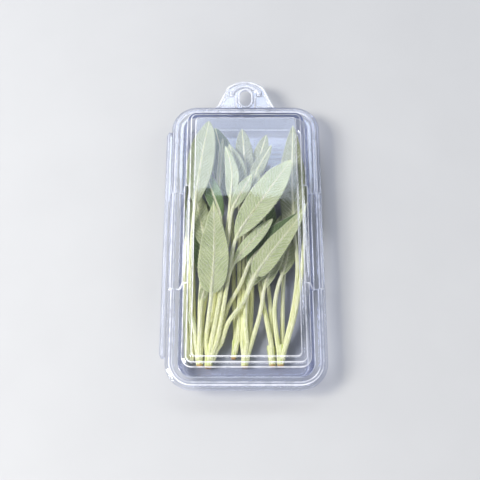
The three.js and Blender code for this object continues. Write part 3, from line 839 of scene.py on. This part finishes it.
# Each leaf's spine from the lower end of its petiole to its tip, the length and width of its
# blade, and where along the blade it is widest, as in the CAD. Only leaf_01 is 1 mm narrower
# than there, which keeps its toothed edge off the lid.
LEAVES = {
    "leaf_01": ([(-33.4, -76.5, 3.6), (-35, -30, 8), (-34.2, 5, 13), (-32.4, 24, 17.5),
        (-28.8, 55, 21), (-24.4, 84, 19)], 62, 17.5, 0.5),
    "leaf_02": ([(-36.2, -76, 5.2), (-38.2, -30, 9.5), (-38.2, 0, 11), (-38.2, 32, 13.5),
        (-36.6, 62, 14)], 62, 9, 0.5),
    "leaf_03": ([(-6.6, -62.5, 2.6), (-7.4, -40, 4.6), (-8, -10, 6.5), (-10, 30, 8),
        (-15, 60, 9.5), (-20.5, 84, 10)], 55, 17, 0.5),
    "leaf_04": ([(-23.8, -66.5, 2.6), (-20, -40, 6.5), (-17.5, 0, 10), (-17.5, 35, 13),
        (-15.1, 73.7, 14)], 40, 7, 0.5),
    "leaf_05": ([(-21.8, -66.5, 5.4), (-16.2, -35, 11.6), (-12.4, 0, 16.6), (-9.8, 26, 19.2),
        (-9, 45, 20.3), (-13.3, 64.4, 20)], 39, 9, 0.4),
    "leaf_06": ([(-5, -62.5, 5.2), (-4.4, -45, 6.6), (-4.3, -30, 7.8), (-4.2, -8, 11.5),
        (-4, 22, 15), (-6, 48, 16), (-11.1, 68.4, 15.5)], 47, 13, 0.45),
    "leaf_07": ([(-1.2, -66.5, 2.6), (0.5, -40, 5), (1.5, 0, 8.5), (1, 38, 11.5), (-1, 62, 12.5),
        (-2.5, 82, 12)], 46, 12, 0.5),
    "leaf_08": ([(1.6, -66.5, 2.6), (3.4, -40, 3.4), (4.5, 0, 6.5), (6, 40, 9.5),
        (9.6, 62, 10.5), (13.8, 78, 11)], 40, 10.5, 0.5),
    "leaf_09": ([(15.2, -66.5, 5.3), (12.5, -50, 4.8), (10, -36, 5.2), (5, 0, 9.6), (3, 38, 13),
        (10, 55, 14), (17, 68.5, 14)], 36, 8, 0.5),
    "leaf_10": ([(-21, -66.5, 8.2), (-15.6, -35, 14.6), (-11, 0, 19.4), (-8.3, 18.2, 20.8),
        (-2, 31, 22), (3.8, 42.9, 21)], 28, 8.5, 0.45),
    "leaf_11": ([(-2.2, -66.5, 5.2), (-1.8, -45, 6.8), (-1.4, -25, 8.4), (-1, 0, 13),
        (0.4, 23, 17), (7, 47.5, 17.5)], 27, 10, 0.6),
    "leaf_12": ([(-18.2, -66.5, 8.4), (-14, -45, 12.6), (-10, -20, 17.6), (-6.3, -2.7, 20.8),
        (12, 26, 24), (29.3, 52.6, 22.5)], 66, 19, 0.5),
    "leaf_13": ([(24, -66.5, 5), (28.5, -48, 8.5), (32.2, -20, 11), (30.8, 8, 13),
        (30.2, 45, 14.5), (31.6, 83, 15)], 88, 17, 0.45),
    "leaf_14": ([(24.8, -66.5, 7.7), (30.2, -48, 11.2), (35.6, -15, 12), (37.1, 15, 10.8),
        (37.1, 40, 10.6), (36.6, 62, 11)], 48, 6, 0.5),
    "leaf_15": ([(-19, -66.5, 5.6), (-13.5, -38, 9.8), (-8.6, -18.8, 15.2), (4, -3, 19),
        (16.9, 11.9, 19.5)], 40, 9, 0.5),
    "leaf_16": ([(-15.6, -66.5, 6.4), (-11, -54, 9.5), (-1.5, -41, 12.5), (6.5, -24, 15.5),
        (20.8, -4.3, 19), (32.6, 11.4, 19.5), (39.4, 24, 18)], 60, 14.5, 0.25),
    "leaf_17": ([(0.4, -66.5, 6.4), (-0.6, -50, 8.8), (1, -33, 10.4), (10, -14, 12.1),
        (24, 6, 12.5)], 44, 15, 0.45),
    "leaf_18": ([(-24.6, -66.5, 5.8), (-23.6, -55, 10), (-21.4, -37.4, 17), (-19.8, -8, 23),
        (-20.7, 22.9, 23)], 61, 19.5, 0.3),
    "leaf_19": ([(-27.2, -66.5, 5.2), (-27, -50, 6), (-24.4, -30, 9), (-25, -4, 10.5),
        (-29, 14, 11.5), (-33.4, 36, 11.5)], 44, 14, 0.5),
    "leaf_20": ([(-20.9, -66.5, 2.6), (-17.2, -40, 7.4), (-15, -10, 12), (-16, 14, 14),
        (-21.5, 32, 16), (-26.4, 47.8, 16)], 36, 11, 0.5),
    "leaf_21": ([(19.4, -66.5, 5.2), (17.6, -46, 7), (19.5, -32, 8.4), (25, -14, 8.6),
        (31, 12, 8.8)], 36, 12, 0.5),
    "leaf_22": ([(-28.6, -66.5, 2.6), (-29, -40, 4), (-28, -22, 5.5), (-27, 5, 5.5),
        (-25, 32, 5.5)], 55, 15, 0.5),
    "leaf_23": ([(15.6, -66.5, 2.6), (15, -40, 3.2), (13, -15, 4.2), (12, 12, 4.5), (13, 42, 5)],
        58, 16, 0.5),
    "leaf_24": ([(-31.5, -66.5, 3), (-33.5, -20, 2.6), (-33.5, 10, 3.6), (-31, 40, 6.5),
        (-30, 76, 7)], 42, 12, 0.5),
    "leaf_25": ([(-31, -66.5, 6), (-31.6, -60, 8.6), (-35.2, -47, 11.5)], 16, 4, 0.5),
    "leaf_26": ([(-28.6, -66.5, 8), (-27.6, -42, 11), (-24.4, -28, 12.4)], 14, 6, 0.4),
    "leaf_27": ([(3, -66.5, 5.2), (8.4, -48, 7.2), (11.5, -31.5, 9.5), (17, -12, 10.2),
        (21, 6, 10), (24, 20, 9.6)], 54, 13, 0.5),
    "leaf_28": ([(-18.1, -66.5, 2.6), (-11.5, -44, 8), (-4, -31, 12), (4.3, -12.5, 14.4),
        (16, -1.2, 16), (27, 9.2, 17), (35.4, 18, 16.6)], 50, 13, 0.45),
    "leaf_29": ([(22.2, -66.5, 2.8), (23, -40, 3.6), (24, -22, 4.4), (28, 6, 5), (30, 34, 6)],
        54, 11, 0.5),
}
TURNS = {"leaf_02": 80, "leaf_04": 50, "leaf_13": -12, "leaf_14": -30}  # about the spine, degrees
# brightness and yellowness of the leaves that differ from the rest; the brightness is partly each
# leaf's own tone and partly painted shade, darker for leaves lying in shadow, such as leaf_13
# under leaf_12
LEAF_TONE_AND_SHADE = {
    "leaf_01": (0.8, 0.2), "leaf_02": (0.84, 0.6), "leaf_03": (0.85, 0.0), "leaf_05": (0.95, 0.0),
    "leaf_06": (0.66, 0.0), "leaf_07": (0.42, 0.0), "leaf_08": (0.56, 0.3), "leaf_09": (0.56, 0.1),
    "leaf_10": (1.0, 0.15), "leaf_11": (0.8, 0.1), "leaf_12": (1.14, 0.35), "leaf_13": (0.4, 1.0),
    "leaf_14": (0.6, 1.0), "leaf_15": (1.18, 0.3), "leaf_16": (0.98, 0.7), "leaf_17": (0.9, 0.6),
    "leaf_18": (1.05, 0.6), "leaf_19": (0.86, 0.6), "leaf_20": (1.25, 0.1), "leaf_21": (0.86, 0.7),
    "leaf_26": (0.82, 0.6), "leaf_28": (0.72, 0.3),
}
FLAT = ("leaf_02", "leaf_04", "leaf_14", "leaf_25", "leaf_26")  # blades that aren't cupped
CUP = 0.1  # how far a blade's edge stands up, as a share of its half width
PLAIN_TONE = (0.9, 0.5)  # brightness and yellowness of the others

BLADE_TAPER = 1.5  # higher is more pointed at both ends
BLADE_SHEET = 0.5
PETIOLE_RADIUS = 1.6  # at its lower end
RIB_RADIUS = 1.15  # midrib where the blade starts
RIB_TIP = 0.26  # midrib at the tip
RIB_RISE = 0.9  # height of the raised midrib, as a share of its radius
FLUSH_RISE = 0.25  # the same on the side where it is sunk
TIP_GAP = 0.12  # the last row before the tip
TOOTH = 0.022  # of the edge, as a share of the half width
TOOTH_TURN = 2.3  # radians along the edge for each mm
QUILT = 0.09  # swelling between the side veins
CURL = 0.6  # waves of the edges
SWAY = 0.35  # slower tilt of the whole blade
GROOVE = 0.22  # along the midrib where it is sunk
GROOVE_HALF = 0.9
PETIOLE_RIBS = 0.07  # as a share of its radius
JOIN_ABOVE = -67.2  # a petiole that starts above this runs on down its stem
SIDE_POINTS = 29  # across one face of a leaf
SIDE_CROWDING = 1.45  # higher puts more of them near the midrib
PETIOLE_PITCH = 1.6  # between rows
BLADE_PITCH = 0.62


def spine_curve(knots, count=900):
    """A centripetal Catmull-Rom curve through the knots, at even steps of its length."""
    knots = np.array(knots, float)
    first = 2 * knots[0] - knots[1]
    last = 2 * knots[-1] - knots[-2]
    padded = np.vstack([first, knots, last])
    pieces = []
    share = np.linspace(0, 1, 80, endpoint=False)[:, None]
    for p0, p1, p2, p3 in zip(padded, padded[1:], padded[2:], padded[3:]):
        d0, d1, d2 = (math.sqrt(np.linalg.norm(b - a)) for a, b in ((p0, p1), (p1, p2), (p2, p3)))
        t1 = ((p1 - p0) / d0 - (p2 - p0) / (d0 + d1) + (p2 - p1) / d1) * d1
        t2 = ((p2 - p1) / d1 - (p3 - p1) / (d1 + d2) + (p3 - p2) / d2) * d1
        pieces.append(p1 + t1 * share + (3 * (p2 - p1) - 2 * t1 - t2) * share ** 2
                      + (2 * (p1 - p2) + t1 + t2) * share ** 3)
    line = np.vstack([*pieces, knots[-1:]])
    lengths = np.concatenate([[0], np.cumsum(np.linalg.norm(np.diff(line, axis=0), axis=1))])
    return line, lengths


def blade_shape(share, widest):
    """Half width of a blade as a share of its greatest."""
    share = np.clip(share, 1e-6, 1 - 1e-6)
    rise = (share / widest) ** widest * ((1 - share) / (1 - widest)) ** (1 - widest)
    return rise ** BLADE_TAPER


def down_the_stem(start):
    """Points that carry a petiole on down along the nearest stem."""
    name = min(STEMS, key=lambda stem: abs(STEMS[stem][1][0] - start[0]))
    joint = stem_middle(name, 1.0)
    offset = np.array(start) - joint
    offset[1] = 0
    return [tuple(stem_middle(name, along) + offset * share)
            for along, share in ((0.3, 0.34), (0.72, 0.62))]


def under_side(faces, count, petiole_rows, green_up):
    """For each face of a leaf, 1 where it wears the material of the underside."""
    marks = []
    for face in faces:
        row, column = divmod(face[0], count)
        lower = len(face) == 4 and column >= SIDE_POINTS - 1
        marks.append(int(green_up and not lower if row < petiole_rows else lower))
    return marks


def build_leaf(name):
    knots, blade, width, widest = LEAVES[name]
    green_up = SLOTS[name] == "leaf_green"
    extra = down_the_stem(knots[0]) if knots[0][1] > JOIN_ABOVE else []
    line, lengths = spine_curve([*extra, *knots])
    total = lengths[-1]
    blade_start = total - blade
    stations = np.concatenate([
        np.arange(0, blade_start, PETIOLE_PITCH),
        np.linspace(blade_start, total - TIP_GAP, int(blade / BLADE_PITCH)),
    ])
    rows = len(stations)
    middle = np.stack([np.interp(stations, lengths, line[:, axis]) for axis in range(3)], axis=1)
    tangent = np.gradient(middle, stations, axis=0)
    tangent /= np.linalg.norm(tangent, axis=1, keepdims=True)
    level = np.cross((0, 0, 1), tangent)
    level /= np.linalg.norm(level, axis=1, keepdims=True)
    up = np.cross(tangent, level)
    turn = math.radians(TURNS.get(name, 0))
    side = level * math.cos(turn) + up * math.sin(turn)
    normal = np.cross(tangent, side)

    share = (stations - blade_start) / blade
    in_blade = np.clip(share, 0, 1)
    half = width / 2 * blade_shape(in_blade, widest) * (share > 0)
    stalk = np.interp(stations, [0, blade_start], [PETIOLE_RADIUS, RIB_RADIUS])
    midrib = RIB_RADIUS + (RIB_TIP - RIB_RADIUS) * in_blade ** 0.75
    rib = np.where(share < 0, stalk, midrib)
    tip = 1 - smoothstep(0.97, 1.0, share)
    seeds = rng.uniform(0, 2 * math.pi, 6)
    seed = rng.uniform(0, 1)

    spread = np.linspace(-1, 1, SIDE_POINTS)
    spread = np.sign(spread) * np.abs(spread) ** SIDE_CROWDING
    cup = np.zeros(rows) if name in FLAT else CUP * np.minimum(1, 4 * in_blade)
    along, half_here, rib_here = stations[:, None], half[:, None], rib[:, None]
    toothed = smoothstep(2, 5, half_here)
    waved = smoothstep(1.5, 5, half_here)
    fade = smoothstep(0.0, 0.15, share)[:, None] * tip[:, None]
    petiole = 1 - smoothstep(0, 0.05, share)[:, None]
    points, grid, edges = [], [], []
    for face in (1, -1):
        across = spread if face == 1 else -spread[1:-1]
        u = across[None, :]
        teeth = 1 + TOOTH * np.sin(along * TOOTH_TURN + seeds[0]) * np.sign(u) * toothed
        reach = np.maximum(half_here * teeth, rib_here)
        x = reach * u
        edge = np.maximum(reach - np.abs(x), 0)
        body = BLADE_SHEET / 2 * np.sqrt(np.clip(1 - u ** 6, 0, 1)) * smoothstep(0, 1.2, half_here)
        raised_here = (face == 1) != green_up
        rib_rise = RIB_RISE if raised_here else FLUSH_RISE
        rise = 1 + (rib_rise - 1) * smoothstep(0, 0.12, share)[:, None]
        round_rib = rise * np.sqrt(np.clip(rib_here ** 2 - x ** 2, 0, None))
        angle = np.arcsin(np.clip(x / rib_here, -1, 1))
        round_rib *= 1 + PETIOLE_RIBS * np.cos(8 * angle + seeds[1]) * petiole
        height = np.maximum(body, round_rib)
        if not raised_here:
            groove = GROOVE * np.exp(-(x / GROOVE_HALF) ** 2) * (1 - petiole) * tip[:, None]
            height = height - groove
        slant = along - VEIN_SLANT * np.abs(x)
        quilt = QUILT * np.cos(2 * math.pi * (slant / VEIN_PITCH + seed))
        quilt = quilt * smoothstep(0.5, 2.5, edge) * fade
        wave = np.where(u > 0, np.sin(along / 3.1 + seeds[2]), np.sin(along / 3.6 + seeds[3]))
        curl = (CURL * wave * np.abs(u) ** 3 + SWAY * np.sin(along / 7 + seeds[4]) * u) * fade
        lift = (cup * half)[:, None] * u ** 2
        out = face * height * np.sqrt(np.clip(tip, 0.02, 1))[:, None] + lift + curl * waved
        out = out + quilt * (1 if raised_here else -1) * face * waved
        points.append(middle[:, None, :] + side[:, None, :] * x[..., None]
                      + normal[:, None, :] * out[..., None])
        grid.append(np.stack(np.broadcast_arrays(x, along - blade_start, rib_here), axis=-1))
        edges.append(np.stack(np.broadcast_arrays(edge, half_here, seed), axis=-1))

    ring = np.concatenate(points, axis=1)
    count = ring.shape[1]
    faces = tube_faces(rows, count) + fan_ends(rows, count)
    ends = [ring[0].mean(axis=0), ring[-1].mean(axis=0) + tangent[-1] * TIP_GAP]
    leaf = make_object(name + "_blade", np.concatenate([ring.reshape(-1, 3), ends]), faces)
    top, bottom = (GREEN_SIDE, PALE_SIDE) if green_up else (PALE_SIDE, GREEN_SIDE)
    leaf.data.materials.append(top)
    leaf.data.materials.append(bottom)
    petiole_rows = int((stations < blade_start).sum())
    leaf.data.polygons.foreach_set("material_index",
                                   under_side(faces, count, petiole_rows, green_up))
    flat_grid = np.concatenate(grid, axis=1).reshape(-1, 3)
    flat_edges = np.concatenate(edges, axis=1).reshape(-1, 3)
    # brightness here is partly painted shade for leaves lying in shadow
    tone = (*LEAF_TONE_AND_SHADE.get(name, PLAIN_TONE), 0)
    set_vectors(leaf, "leaf_grid", [*flat_grid, (0, -blade_start, 1), (0, blade, 1)])
    set_vectors(leaf, "leaf_edge", [*flat_edges, (1, 0, seed), (0, 0, seed)])
    set_vectors(leaf, "leaf_tone_and_shade", np.tile(tone, (len(flat_edges) + len(ends), 1)))
    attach(leaf, "pack_base")
    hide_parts(name)


for leaf_name in LEAVES:
    build_leaf(leaf_name)


# ---------------------------------------------------------------- floor, world and lights

FLOOR_DARK = (0.54, 0.545, 0.56)
FLOOR_LIGHT = (0.58, 0.585, 0.60)


def floor_material():
    """Plain pale matte ground, very faintly uneven."""
    nodes = Nodes("floor")
    shader = nodes.add("ShaderNodeBsdfPrincipled")
    shade = nodes.noise(nodes.place(), 0.02, 3.0)
    nodes.put(shader.inputs["Base Color"], nodes.mix(shade, FLOOR_DARK, FLOOR_LIGHT))
    shader.inputs["Roughness"].default_value = 0.85
    return nodes.finish(shader)


FLOOR_SIZE = 3000
FLOOR_DROP = -0.15  # keeps it from lying in the tray's own underside
floor_corners = [(x * FLOOR_SIZE, y * FLOOR_SIZE, FLOOR_DROP)
                 for x, y in ((-1, -1), (1, -1), (1, 1), (-1, 1))]
floor = make_object("floor", floor_corners, [(0, 1, 2, 3)], floor_material(), smooth=False)

HORIZON = (0.44, 0.48, 0.60)
ZENITH = (0.46, 0.47, 0.49)


def studio_dome(strength):
    """A soft dome, brighter and bluer towards the horizon."""
    world = bpy.data.worlds.new("world")
    world.use_nodes = True
    tree = world.node_tree
    parts = tree.nodes.new("ShaderNodeSeparateXYZ")
    direction = tree.nodes.new("ShaderNodeTexCoord").outputs["Generated"]
    tree.links.new(direction, parts.inputs[0])
    ramp = tree.nodes.new("ShaderNodeValToRGB")
    ramp.color_ramp.elements[0].position = 0.15
    ramp.color_ramp.elements[0].color = (*HORIZON, 1)
    ramp.color_ramp.elements[1].position = 0.8
    ramp.color_ramp.elements[1].color = (*ZENITH, 1)
    tree.links.new(parts.outputs["Z"], ramp.inputs[0])
    background = tree.nodes["Background"]
    tree.links.new(ramp.outputs[0], background.inputs["Color"])
    background.inputs["Strength"].default_value = strength
    bpy.context.scene.world = world


def area_light(name, place, aim, size, watts, colour, soft=0.0):
    """A softbox; soft is the share of its height over which its near end fades."""
    light = bpy.data.lights.new(name, "AREA")
    light.shape = "RECTANGLE"
    light.size, light.size_y = size
    light.energy = watts
    light.color = colour
    if soft:
        light.use_nodes = True
        tree = light.node_tree
        parts = tree.nodes.new("ShaderNodeSeparateXYZ")
        spot = tree.nodes.new("ShaderNodeNewGeometry").outputs["Parametric"]
        tree.links.new(spot, parts.inputs[0])
        fade = tree.nodes.new("ShaderNodeMapRange")
        fade.interpolation_type = "SMOOTHSTEP"
        tree.links.new(parts.outputs["Y"], fade.inputs[0])
        for socket, value in zip(fade.inputs[1:5], (0, soft, 0, 1)):
            socket.default_value = value
        tree.links.new(fade.outputs[0], tree.nodes["Emission"].inputs["Strength"])
    obj = bpy.data.objects.new(name, light)
    obj.location = place
    obj.rotation_euler = (Vector(aim) - Vector(place)).to_track_quat("-Z", "Y").to_euler()
    bpy.context.scene.collection.objects.link(obj)


studio_dome(0.45)
area_light("key", (-0.95, -0.15, 1.0), (0, 0, 0), (0.5, 0.5), 20, (1.0, 0.98, 0.94))
area_light("veil", (0.0, 0.72, 1.0), (0, 0.05, 0), (0.7, 0.36), 2.8, (0.80, 0.88, 1.0), soft=0.35)
for strip, x in (("left_strip", -0.9), ("right_strip", 0.9)):
    area_light(strip, (x, 0.45, 0.55), (0, 0, 0), (0.16, 0.9), 2.8, (0.95, 0.97, 1.0))
area_light("front", (0.0, -1.0, 0.35), (0, 0, 0), (1.6, 0.3), 6.5, (1.0, 1.0, 1.0))
